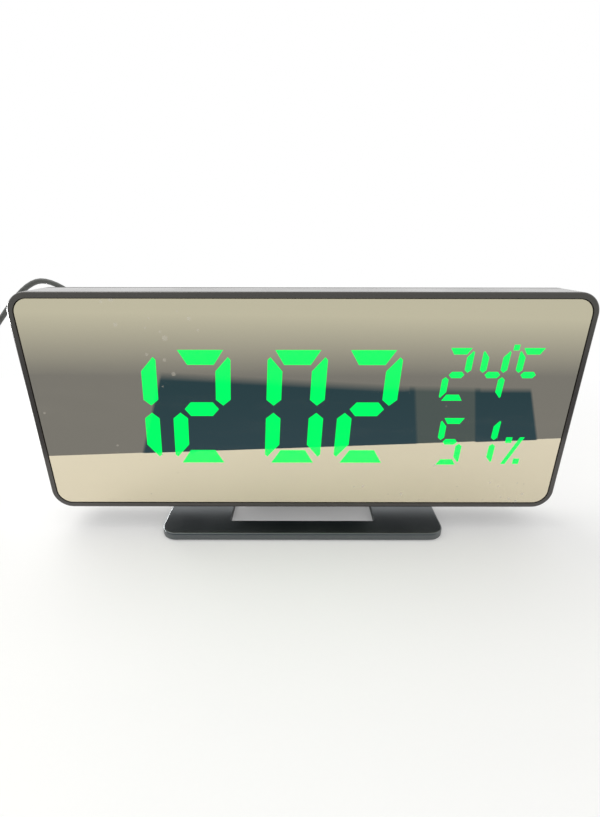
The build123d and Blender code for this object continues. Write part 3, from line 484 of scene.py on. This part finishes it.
def turned(profile, steps=48):
    """Shape turned about the Y line through the origin; the profile runs from axis to axis."""
    mesh = bmesh.new()
    corners = [mesh.verts.new(Vector((radius, along, 0)) * MM) for radius, along in profile]
    lines = [mesh.edges.new(pair) for pair in zip(corners, corners[1:])]
    bmesh.ops.spin(
        mesh, geom=corners + lines, axis=(0, 1, 0), cent=(0, 0, 0), steps=steps, angle=2 * pi, use_merge=True
    )
    bmesh.ops.remove_doubles(mesh, verts=mesh.verts, dist=1e-7)
    bmesh.ops.recalc_face_normals(mesh, faces=mesh.faces)
    return mesh


def rounded_outline(width, height, corner, steps=14):
    """Points round a rectangle with rounded corners, about its middle."""
    points = []
    for turn, (side, up) in enumerate(((1, 1), (-1, 1), (-1, -1), (1, -1))):
        for i in range(steps + 1):
            angle = pi / 2 * (turn + i / steps)
            x = side * (width / 2 - corner) + corner * cos(angle)
            z = up * (height / 2 - corner) + corner * sin(angle)
            points.append((x, z))
    return points


def half_mirror_panel():
    """Panel with the half-mirror film on its front and a fine polished edge round it."""
    film_from = MIRROR_FRONT + MIRROR_EDGE
    mesh = bmesh.new()
    rings = []
    for y, inset in ((MIRROR_BACK, 0.0), (film_from, 0.0), (MIRROR_FRONT, MIRROR_EDGE)):
        outline = rounded_outline(MIRROR_W - 2 * inset, MIRROR_H - 2 * inset, MIRROR_R - inset)
        rings.append([mesh.verts.new(Vector((x, y, HOUSING_MIDDLE + z)) * MM) for x, z in outline])
    for first, second in zip(rings, rings[1:]):
        for i in range(len(first)):
            mesh.faces.new((first[i - 1], first[i], second[i], second[i - 1]))
    mesh.faces.new(rings[0])
    mesh.faces.new(rings[-1])
    for face in mesh.faces:
        face.material_index = 0 if face.calc_center_median().y < film_from * MM else 1
    bmesh.ops.recalc_face_normals(mesh, faces=mesh.faces)
    finishes = (half_mirror_film, panel_back)
    obj = piece("half_mirror_panel", mesh, "clock_housing", "mirror", *finishes, sharp=20.0)
    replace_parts(obj, "mirror_panel")


def light_in_panel():
    """Light of the lit segments where it comes through the film, as thin plates on the film."""
    mesh = bmesh.new()
    for name in ("time_segments", "climate_segments"):
        mesh.from_mesh(nodes[name].data)
    bmesh.ops.remove_doubles(mesh, verts=mesh.verts, dist=1e-6)
    inner = [face for face in mesh.faces if face.normal.y > -0.9]
    bmesh.ops.delete(mesh, geom=inner, context="FACES")
    bmesh.ops.dissolve_limit(mesh, angle_limit=radians(1), verts=mesh.verts, edges=mesh.edges)
    for vert in mesh.verts:
        vert.co.y = (MIRROR_FRONT - PLATE_FRONT) * MM
    made = bmesh.ops.extrude_face_region(mesh, geom=mesh.faces[:])
    for item in made["geom"]:
        if isinstance(item, bmesh.types.BMVert):
            item.co.y = (MIRROR_FRONT - PLATE_BACK) * MM
    bmesh.ops.recalc_face_normals(mesh, faces=mesh.faces)
    plates = piece("light_in_panel", mesh, "clock_housing", "lit", light_in_mirror)
    plates.visible_diffuse = False


def button_caps():
    """Push-button caps with a rounded rim and a shallow dish for the fingertip."""
    stem = [(0, -6.5), (2.0, -6.5), (2.0, -6.7), (4.4, -6.7), (4.4, -5.8), (CAP_R, -5.8)]
    rim = oval((CAP_R - CAP_RIM, CAP_TOP - CAP_RIM), (CAP_RIM, CAP_RIM), 0, 90, 4)
    dish = [(DISH_R * i / 4, DISH_LOW + DISH_RISE * (i / 4) ** 2) for i in (4, 3, 2, 1, 0)]
    profile = stem + rim + dish
    for name, x in BUTTON_PLACES.items():
        mesh = turned(profile, steps=56)
        bmesh.ops.translate(mesh, verts=mesh.verts, vec=Vector((x, 0, BUTTON_UP)) * MM)
        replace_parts(piece(name + "_cap", mesh, name, "case", button_grey), name)


half_mirror_panel()
light_in_panel()
button_caps()


# Repeated pieces, made by geometry trees

def geometry_tree(name, inputs):
    """Empty geometry tree with named inputs, given as label: socket kind."""
    tree = bpy.data.node_groups.new(name, "GeometryNodeTree")
    tree.interface.new_socket("Geometry", in_out="INPUT", socket_type="NodeSocketGeometry")
    for label, kind in inputs.items():
        tree.interface.new_socket(label, in_out="INPUT", socket_type="NodeSocket" + kind)
    tree.interface.new_socket("Geometry", in_out="OUTPUT", socket_type="NodeSocketGeometry")
    return tree, tree.nodes.new("NodeGroupInput").outputs, tree.nodes.new("NodeGroupOutput")


def end_tree(tree, out, geometry, material):
    """Make a tree's copies real, dress them and put them out."""
    real = add(tree, "GeometryNodeRealizeInstances", {"Geometry": geometry})
    dressed = add(tree, "GeometryNodeSetMaterial", {"Geometry": real.outputs[0], "Material": material})
    tree.links.new(dressed.outputs[0], out.inputs[0])


def grow(name, tree, values, spots, body):
    """Plain mesh that a tree makes from a few spots, riding on a body."""
    data = bpy.data.meshes.new(name)
    data.from_pydata([Vector(spot) * MM for spot in spots], [], [])
    seed = bpy.data.objects.new(name + "_spots", data)
    bpy.context.collection.objects.link(seed)
    modifier = seed.modifiers.new("tree", "NODES")
    modifier.node_group = tree
    for socket in tree.interface.items_tree:
        if socket.in_out == "INPUT" and socket.name in values:
            modifier[socket.identifier] = values[socket.name]
    bpy.context.view_layer.update()
    grown = bpy.data.meshes.new_from_object(seed.evaluated_get(bpy.context.evaluated_depsgraph_get()))
    seed.modifiers.remove(modifier)
    bpy.data.objects.remove(seed)
    grown.name = name
    grown.shade_smooth()
    grown.set_sharp_from_angle(angle=radians(SHARP))
    obj = bpy.data.objects.new(name, grown)
    bpy.context.collection.objects.link(obj)
    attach(obj, body)
    return obj


def hidden_pattern(name, mesh):
    """Object that a tree repeats; it is taken away once the trees have run."""
    data = bpy.data.meshes.new(name)
    mesh.to_mesh(data)
    mesh.free()
    return bpy.data.objects.new(name, data)


def cross_screw(length):
    """Domed screw, head outwards along +Y from the head's seat, with a tapered cross recess."""
    shank = [(0, -length), (0.45, -length), (0.85, -length + 0.6), (0.85, 0), (HEAD_R, 0)]
    dome = oval((0, HEAD_WALL), (HEAD_R, HEAD_DOME), 0, 90, 6)
    mesh = turned(shank + dome, steps=40)
    body = hidden_pattern("screw_blank", mesh)
    cutter = bmesh.new()
    for width, depth in ((2.1, 0.46), (0.46, 2.1)):
        made = bmesh.ops.create_cube(cutter, size=1.0)["verts"]
        for vert in made:
            low = vert.co.y < 0
            share, along = (0.55, 0.45) if low else (1.0, 1.4)
            vert.co = Vector((vert.co.x * width * share, along, vert.co.z * depth * share)) * MM
    cross = hidden_pattern("screw_cross", cutter)
    for obj in (body, cross):
        bpy.context.collection.objects.link(obj)
    cut = body.modifiers.new("cross", "BOOLEAN")
    cut.operation = "DIFFERENCE"
    cut.solver = "EXACT"
    cut.use_self = True
    cut.object = cross
    bpy.context.view_layer.update()
    shape = bpy.data.meshes.new_from_object(body.evaluated_get(bpy.context.evaluated_depsgraph_get()))
    for obj in (body, cross):
        bpy.data.objects.remove(obj)
    screw = bpy.data.objects.new("screw_pattern", shape)
    bpy.context.collection.objects.link(screw)
    return screw


def screw_tree():
    """A screw on every spot, each turned by its own seeded angle about its axis."""
    tree, come, out = geometry_tree("rear_screws", {"Screw": "Object", "Seed": "Int", "Finish": "Material"})
    source = add(tree, "GeometryNodeObjectInfo", {"Object": come["Screw"]})
    turn = add(tree, "FunctionNodeRandomValue", {"Seed": come["Seed"]}, data_type="FLOAT")
    turn.inputs[2].default_value = 0.0
    turn.inputs[3].default_value = pi / 2
    angle = add(tree, "ShaderNodeCombineXYZ", {"Y": turn.outputs[1]})
    set_out = {"Points": come["Geometry"], "Instance": source.outputs["Geometry"]}
    set_out["Rotation"] = angle.outputs[0]
    screws = add(tree, "GeometryNodeInstanceOnPoints", set_out)
    end_tree(tree, out, screws.outputs[0], come["Finish"])
    return tree


def ring_tree():
    """Rings along the strain relief, each as wide as the tapered boot where it sits."""
    inputs = {
        "Rings": "Int", "Pitch": "Float", "First radius": "Float", "Last radius": "Float",
        "Thickness": "Float", "Finish": "Material",
    }
    tree, come, out = geometry_tree("boot_rings", inputs)
    hoop = add(tree, "GeometryNodeCurvePrimitiveCircle", {"Resolution": 40, "Radius": 1.0})
    step = add(tree, "ShaderNodeCombineXYZ", {"Y": come["Pitch"]})
    line = add(tree, "GeometryNodeMeshLine", {"Count": come["Rings"], "Offset": step.outputs[0]})
    index = add(tree, "GeometryNodeInputIndex").outputs[0]
    last = sums(tree, "SUBTRACT", come["Rings"], 1.0)
    share = sums(tree, "DIVIDE", index, last)
    narrowing = sums(tree, "SUBTRACT", come["Last radius"], come["First radius"])
    radius = sums(tree, "MULTIPLY_ADD", share, narrowing, come["First radius"])
    laid = {"Points": come["Geometry"], "Instance": line.outputs[0]}
    along = add(tree, "GeometryNodeInstanceOnPoints", laid)
    spots = add(tree, "GeometryNodeRealizeInstances", {"Geometry": along.outputs[0]})
    size = add(tree, "ShaderNodeCombineXYZ", {"X": radius, "Y": radius, "Z": radius})
    set_out = {"Points": spots.outputs[0], "Instance": hoop.outputs[0], "Rotation": (pi / 2, 0.0, 0.0)}
    set_out["Scale"] = size.outputs[0]
    hoops = add(tree, "GeometryNodeInstanceOnPoints", set_out)
    curves = add(tree, "GeometryNodeRealizeInstances", {"Geometry": hoops.outputs[0]})
    bead = add(tree, "GeometryNodeCurvePrimitiveCircle", {"Resolution": 12, "Radius": come["Thickness"]})
    swept = {"Curve": curves.outputs[0], "Profile Curve": bead.outputs[0]}
    rings = add(tree, "GeometryNodeCurveToMesh", swept)
    end_tree(tree, out, rings.outputs[0], come["Finish"])
    return tree


def ridge_tree():
    """Upright finger ridges in rows along Y, one row from every spot."""
    inputs = {
        "Ridges": "Int", "Pitch": "Float", "Height": "Float", "Thickness": "Float", "Finish": "Material",
    }
    tree, come, out = geometry_tree("grip_ridges", inputs)
    half = sums(tree, "MULTIPLY", come["Height"], 0.5)
    low = add(tree, "ShaderNodeCombineXYZ", {"Z": sums(tree, "MULTIPLY", half, -1.0)})
    high = add(tree, "ShaderNodeCombineXYZ", {"Z": half})
    bar = add(tree, "GeometryNodeCurvePrimitiveLine", {"Start": low.outputs[0], "End": high.outputs[0]})
    bead = add(tree, "GeometryNodeCurvePrimitiveCircle", {"Resolution": 12, "Radius": come["Thickness"]})
    swept = {"Curve": bar.outputs[0], "Profile Curve": bead.outputs[0], "Fill Caps": True}
    ridge = add(tree, "GeometryNodeCurveToMesh", swept)
    step = add(tree, "ShaderNodeCombineXYZ", {"Y": come["Pitch"]})
    line = add(tree, "GeometryNodeMeshLine", {"Count": come["Ridges"], "Offset": step.outputs[0]})
    row = add(tree, "GeometryNodeInstanceOnPoints", {"Points": line.outputs[0], "Instance": ridge.outputs[0]})
    rows = add(tree, "GeometryNodeInstanceOnPoints", {"Points": come["Geometry"], "Instance": row.outputs[0]})
    end_tree(tree, out, rows.outputs[0], come["Finish"])
    return tree


def pad_tree():
    """A rubber pad on every spot."""
    tree, come, out = geometry_tree("stand_pads", {"Pad": "Object", "Finish": "Material"})
    source = add(tree, "GeometryNodeObjectInfo", {"Object": come["Pad"]})
    set_out = {"Points": come["Geometry"], "Instance": source.outputs["Geometry"]}
    pads = add(tree, "GeometryNodeInstanceOnPoints", set_out)
    end_tree(tree, out, pads.outputs[0], come["Finish"])
    return tree


def rear_screws():
    """Four screws in the rear cover and one in the battery hatch."""
    tree = screw_tree()
    reach_x = HOUSING_W / 2 - SCREW_IN
    reach_z = HOUSING_H / 2 - SCREW_IN
    seat = COVER_BACK - SCREW_SINK - HEAD_H
    corners = [(side, up) for side in (-1, 1) for up in (-1, 1)]
    spots = [(side * reach_x, seat, HOUSING_MIDDLE + up * reach_z) for side, up in corners]
    long_screw = cross_screw(COVER_SCREW_L)
    values = {"Screw": long_screw, "Seed": 7, "Finish": blackened_steel}
    obj = grow("cover_screw_set", tree, values, spots, "clock_housing")
    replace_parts(obj, "cover_screws")
    short_screw = cross_screw(HATCH_SCREW_L)
    values = {"Screw": short_screw, "Seed": 3, "Finish": blackened_steel}
    spot = (HATCH_SCREW[0], COVER_BACK - HEAD_H, HATCH_SCREW[1])
    obj = grow("hatch_screw", tree, values, [spot], nodes["door_screw"]["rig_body"])
    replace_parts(obj, "door_screw")
    for pattern in (long_screw, short_screw):
        bpy.data.objects.remove(pattern)


def plug_details():
    """Strain-relief rings on the boot, and finger ridges on both plugs."""
    values = {
        "Rings": 5, "Pitch": 1.4 * MM, "First radius": 2.45 * MM, "Last radius": 1.9 * MM,
        "Thickness": 0.34 * MM, "Finish": plug_jacket,
    }
    spot = (PLUG_AT[0], PLUG_BACK + RING_START, PLUG_AT[1])
    rings = grow("boot_ring_set", ring_tree(), values, [spot], "clock_housing")
    tree = ridge_tree()
    values = {
        "Ridges": 6, "Pitch": 1.5 * MM, "Height": 2.6 * MM, "Thickness": 0.32 * MM, "Finish": plug_jacket,
    }
    along = PLUG_FRONT + RIDGE_START
    spots = [(PLUG_AT[0] + side * PLUG_W / 2, along, PLUG_AT[1]) for side in (-1, 1)]
    near = grow("power_plug_ridges", tree, values, spots, "clock_housing")
    values = {
        "Ridges": 7, "Pitch": 1.9 * MM, "Height": 3.6 * MM, "Thickness": 0.4 * MM, "Finish": plug_jacket,
    }
    along = FAR_PLUG_BACK - FAR_RIDGE_START
    spots = [(FAR_PLUG_X + side * FAR_PLUG_W / 2, along, FAR_PLUG_H / 2) for side in (-1, 1)]
    far = grow("far_plug_ridges", tree, values, spots, "clock_housing")
    return [rings, near, far]


def stand_pads():
    """Rubber pads with a rounded rim and one shallow ring pressed into the foot."""
    groove = oval((GROOVE_R, 0), (GROOVE_HALF, GROOVE_DEEP), 180, 0, 4)
    rim = oval((FOOT_R - FOOT_RIM, FOOT_RIM), (FOOT_RIM, FOOT_RIM), -90, 0, 4)
    profile = [(0, 0)] + groove + rim + [(FOOT_R, FOOT_T), (0, FOOT_T)]
    mesh = turned(profile, steps=48)
    bmesh.ops.rotate(mesh, verts=mesh.verts, cent=(0, 0, 0), matrix=Matrix.Rotation(pi / 2, 3, "X"))
    pattern = hidden_pattern("pad_pattern", mesh)
    bpy.context.collection.objects.link(pattern)
    spots = [(side * FOOT_X, end * FOOT_Y, 0) for side in (-1, 1) for end in (-1, 1)]
    values = {"Pad": pattern, "Finish": rubber_black}
    obj = grow("stand_pad_set", pad_tree(), values, spots, "stand")
    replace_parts(obj, "rubber_feet")
    bpy.data.objects.remove(pattern)


rear_screws()
plug_trim = plug_details()
stand_pads()


# Studio: pale table, white room, and glowing cards that paint the room's reflection in the mirror

TABLE_WHITE = 0.07      # least share of white in the table as the mirror shows it
TABLE_LIFT = 0.13       # further share of white where the table is seen directly
# Painted reflection of the room: colours of glowing cards, a wall lighter towards its top, dark openings and
# a passage, and the cards' corners
WALL_REFLECTION_LOW, WALL_REFLECTION_HIGH = (0.256, 0.27, 0.305), (0.69, 0.715, 0.69)
SHADE_LOW, SHADE_HIGH = (0.042, 0.088, 0.136), (0.032, 0.076, 0.115)
PASSAGE_REFLECTION = (0.1, 0.14, 0.17)
WALL_CORNERS = [(-420, -54.6, 0), (420, -120.9, 0), (420, -120.9, 420), (-420, -54.6, 420)]
WIDE_OPENING = [(-83.7, -80.6, 0), (64.1, -92.3, 0), (59.4, -91.9, 33.5), (-69.2, -81.7, 44.0)]
PASSAGE_CORNERS = [(60.0, -92.25, 0), (99.0, -95.3, 0), (94.0, -94.9, 32.0), (55.6, -91.9, 33.8)]
NARROW_OPENING = [(95.2, -94.2, 0), (132.2, -97.1, 0), (122.0, -96.3, 31.2), (90.0, -93.8, 32.1)]


def pale_table():
    """Wide pale table that turns white away from the clock and keeps the clock's shadow."""
    data = bpy.data.meshes.new("pale_table")
    reach = 6.0
    corners = [(-reach, -reach, 0), (reach, -reach, 0), (reach, reach, 0), (-reach, reach, 0)]
    data.from_pydata(corners, [], [(0, 1, 2, 3)])
    table = bpy.data.objects.new("pale_table", data)
    bpy.context.collection.objects.link(table)
    material, tree, shader, place = finish("pale_table", Roughness=0.55, Specular_IOR_Level=0.25)
    skin = use_group(tree, moulded_grain, place, Grain=900.0, Patches=9.0)
    colour = tint(tree, skin["Tone"], (0.85, 0.845, 0.83, 1), (0.9, 0.895, 0.88, 1))
    tree.links.new(colour, shader.inputs["Base Color"])
    path, seen = seen_rays(tree)
    wide = add(tree, "ShaderNodeMapping", {"Vector": place, "Scale": (0.55, 1.0, 1.0)})
    far = add(tree, "ShaderNodeVectorMath", {0: wide.outputs[0]}, operation="LENGTH").outputs["Value"]
    least = sums(tree, "MULTIPLY_ADD", path["Is Camera Ray"], TABLE_LIFT, TABLE_WHITE)
    fade = spread(tree, far, 0.1, 0.22, least, 1.0)
    white = add(tree, "ShaderNodeEmission", {"Color": (1, 1, 1, 1), "Strength": 1.0})
    share = sums(tree, "MULTIPLY", seen, fade)
    mixed = add(tree, "ShaderNodeMixShader", {0: share, 1: shader.outputs[0], 2: white.outputs[0]})
    tree.links.new(mixed.outputs[0], tree.nodes["Material Output"].inputs[0])
    data.materials.append(material)


def reflection_card(name, corners, low, high, lean=0.0, soft=None):
    """Glowing card that only reflections see, a painted reflection of the room: its tone changes with height,
    and its edges may be soft.
    """
    data = bpy.data.meshes.new(name)
    data.from_pydata([Vector(corner) * MM for corner in corners], [], [(0, 1, 2, 3)])
    for loop, spot in zip(data.uv_layers.new(name="across_and_up").data, ((0, 0), (1, 0), (1, 1), (0, 1))):
        loop.uv = spot
    card = bpy.data.objects.new(name, data)
    bpy.context.collection.objects.link(card)
    material = bpy.data.materials.new(name)
    material.use_nodes = True
    tree = material.node_tree
    tree.nodes.clear()
    coordinates = add(tree, "ShaderNodeTexCoord").outputs
    spot = add(tree, "ShaderNodeSeparateXYZ", {0: coordinates["Object"]}).outputs
    up = sums(tree, "MULTIPLY_ADD", spot["X"], lean, spot["Z"])
    share = spread(tree, up, low[0] * MM, high[0] * MM)
    colour = tint(tree, share, (*low[1], 1), (*high[1], 1))
    glow = add(tree, "ShaderNodeEmission", {"Color": colour, "Strength": 1.0}).outputs[0]
    if soft:
        across, height, _ = add(tree, "ShaderNodeSeparateXYZ", {0: coordinates["UV"]}).outputs
        inside = spread(tree, sums(tree, "PINGPONG", across, 0.5), 0.0, soft[0])
        below = spread(tree, height, 1.0, 1.0 - soft[1])
        share = sums(tree, "MULTIPLY", inside, below)
        clear = add(tree, "ShaderNodeBsdfTransparent").outputs[0]
        glow = add(tree, "ShaderNodeMixShader", {0: share, 1: clear, 2: glow}).outputs[0]
    out = add(tree, "ShaderNodeOutputMaterial")
    tree.links.new(glow, out.inputs[0])
    data.materials.append(material)
    card.visible_camera = False
    card.visible_diffuse = False
    card.visible_transmission = False
    card.visible_shadow = False


def white_room():
    """Soft world light that shows as plain white."""
    world = bpy.data.worlds.new("white_room")
    bpy.context.scene.world = world
    world.use_nodes = True
    tree = world.node_tree
    tree.nodes.clear()
    _, seen = seen_rays(tree)
    soft = add(tree, "ShaderNodeBackground", {"Color": (0.98, 0.99, 1.0, 1), "Strength": 0.82})
    white = add(tree, "ShaderNodeBackground", {"Color": (1, 1, 1, 1), "Strength": 1.0})
    mixed = add(tree, "ShaderNodeMixShader", {0: seen, 1: soft.outputs[0], 2: white.outputs[0]})
    out = add(tree, "ShaderNodeOutputWorld")
    tree.links.new(mixed.outputs[0], out.inputs[0])


def soft_lamp(name, spot, aim, size, power, colour):
    """Rectangular lamp at a spot in metres, turned towards its aim."""
    data = bpy.data.lights.new(name, "AREA")
    data.shape = "RECTANGLE"
    data.size, data.size_y = size
    data.energy = power
    data.color = colour
    lamp = bpy.data.objects.new(name, data)
    bpy.context.collection.objects.link(lamp)
    lamp.location = spot
    lamp.rotation_euler = (Vector(aim) - Vector(spot)).to_track_quat("-Z", "Y").to_euler()


pale_table()
white_room()
# Painted reflections of the room's wall, openings and passage, glowing cards seen only in the mirror and
# other gloss
reflection_card("room_wall", WALL_CORNERS, (40.0, WALL_REFLECTION_LOW), (70.0, WALL_REFLECTION_HIGH), lean=0.025)
reflection_card("wide_opening", WIDE_OPENING, (0.0, SHADE_LOW), (40.0, SHADE_HIGH), soft=(0.012, 0.1))
reflection_card("passage", PASSAGE_CORNERS, (0.0, PASSAGE_REFLECTION), (32.0, PASSAGE_REFLECTION), soft=(0.001, 0.1))
reflection_card("narrow_opening", NARROW_OPENING, (0.0, SHADE_LOW), (32.0, SHADE_HIGH), soft=(0.04, 0.1))
soft_lamp("window_light", (-0.5, 0.25, 0.95), (0, 0, 0.04), (0.9, 0.7), 4.2, (1.0, 0.985, 0.96))
soft_lamp("room_light", (0.35, -0.65, 0.8), (0, 0, 0.04), (0.8, 0.8), 1.2, (1.0, 0.97, 0.93))
soft_lamp("low_light", (-0.42, 0.2, 0.045), (-0.05, 0, 0), (0.5, 0.05), 2.0, (1.0, 1.0, 1.0))
bpy.context.scene.view_settings.view_transform = "Standard"
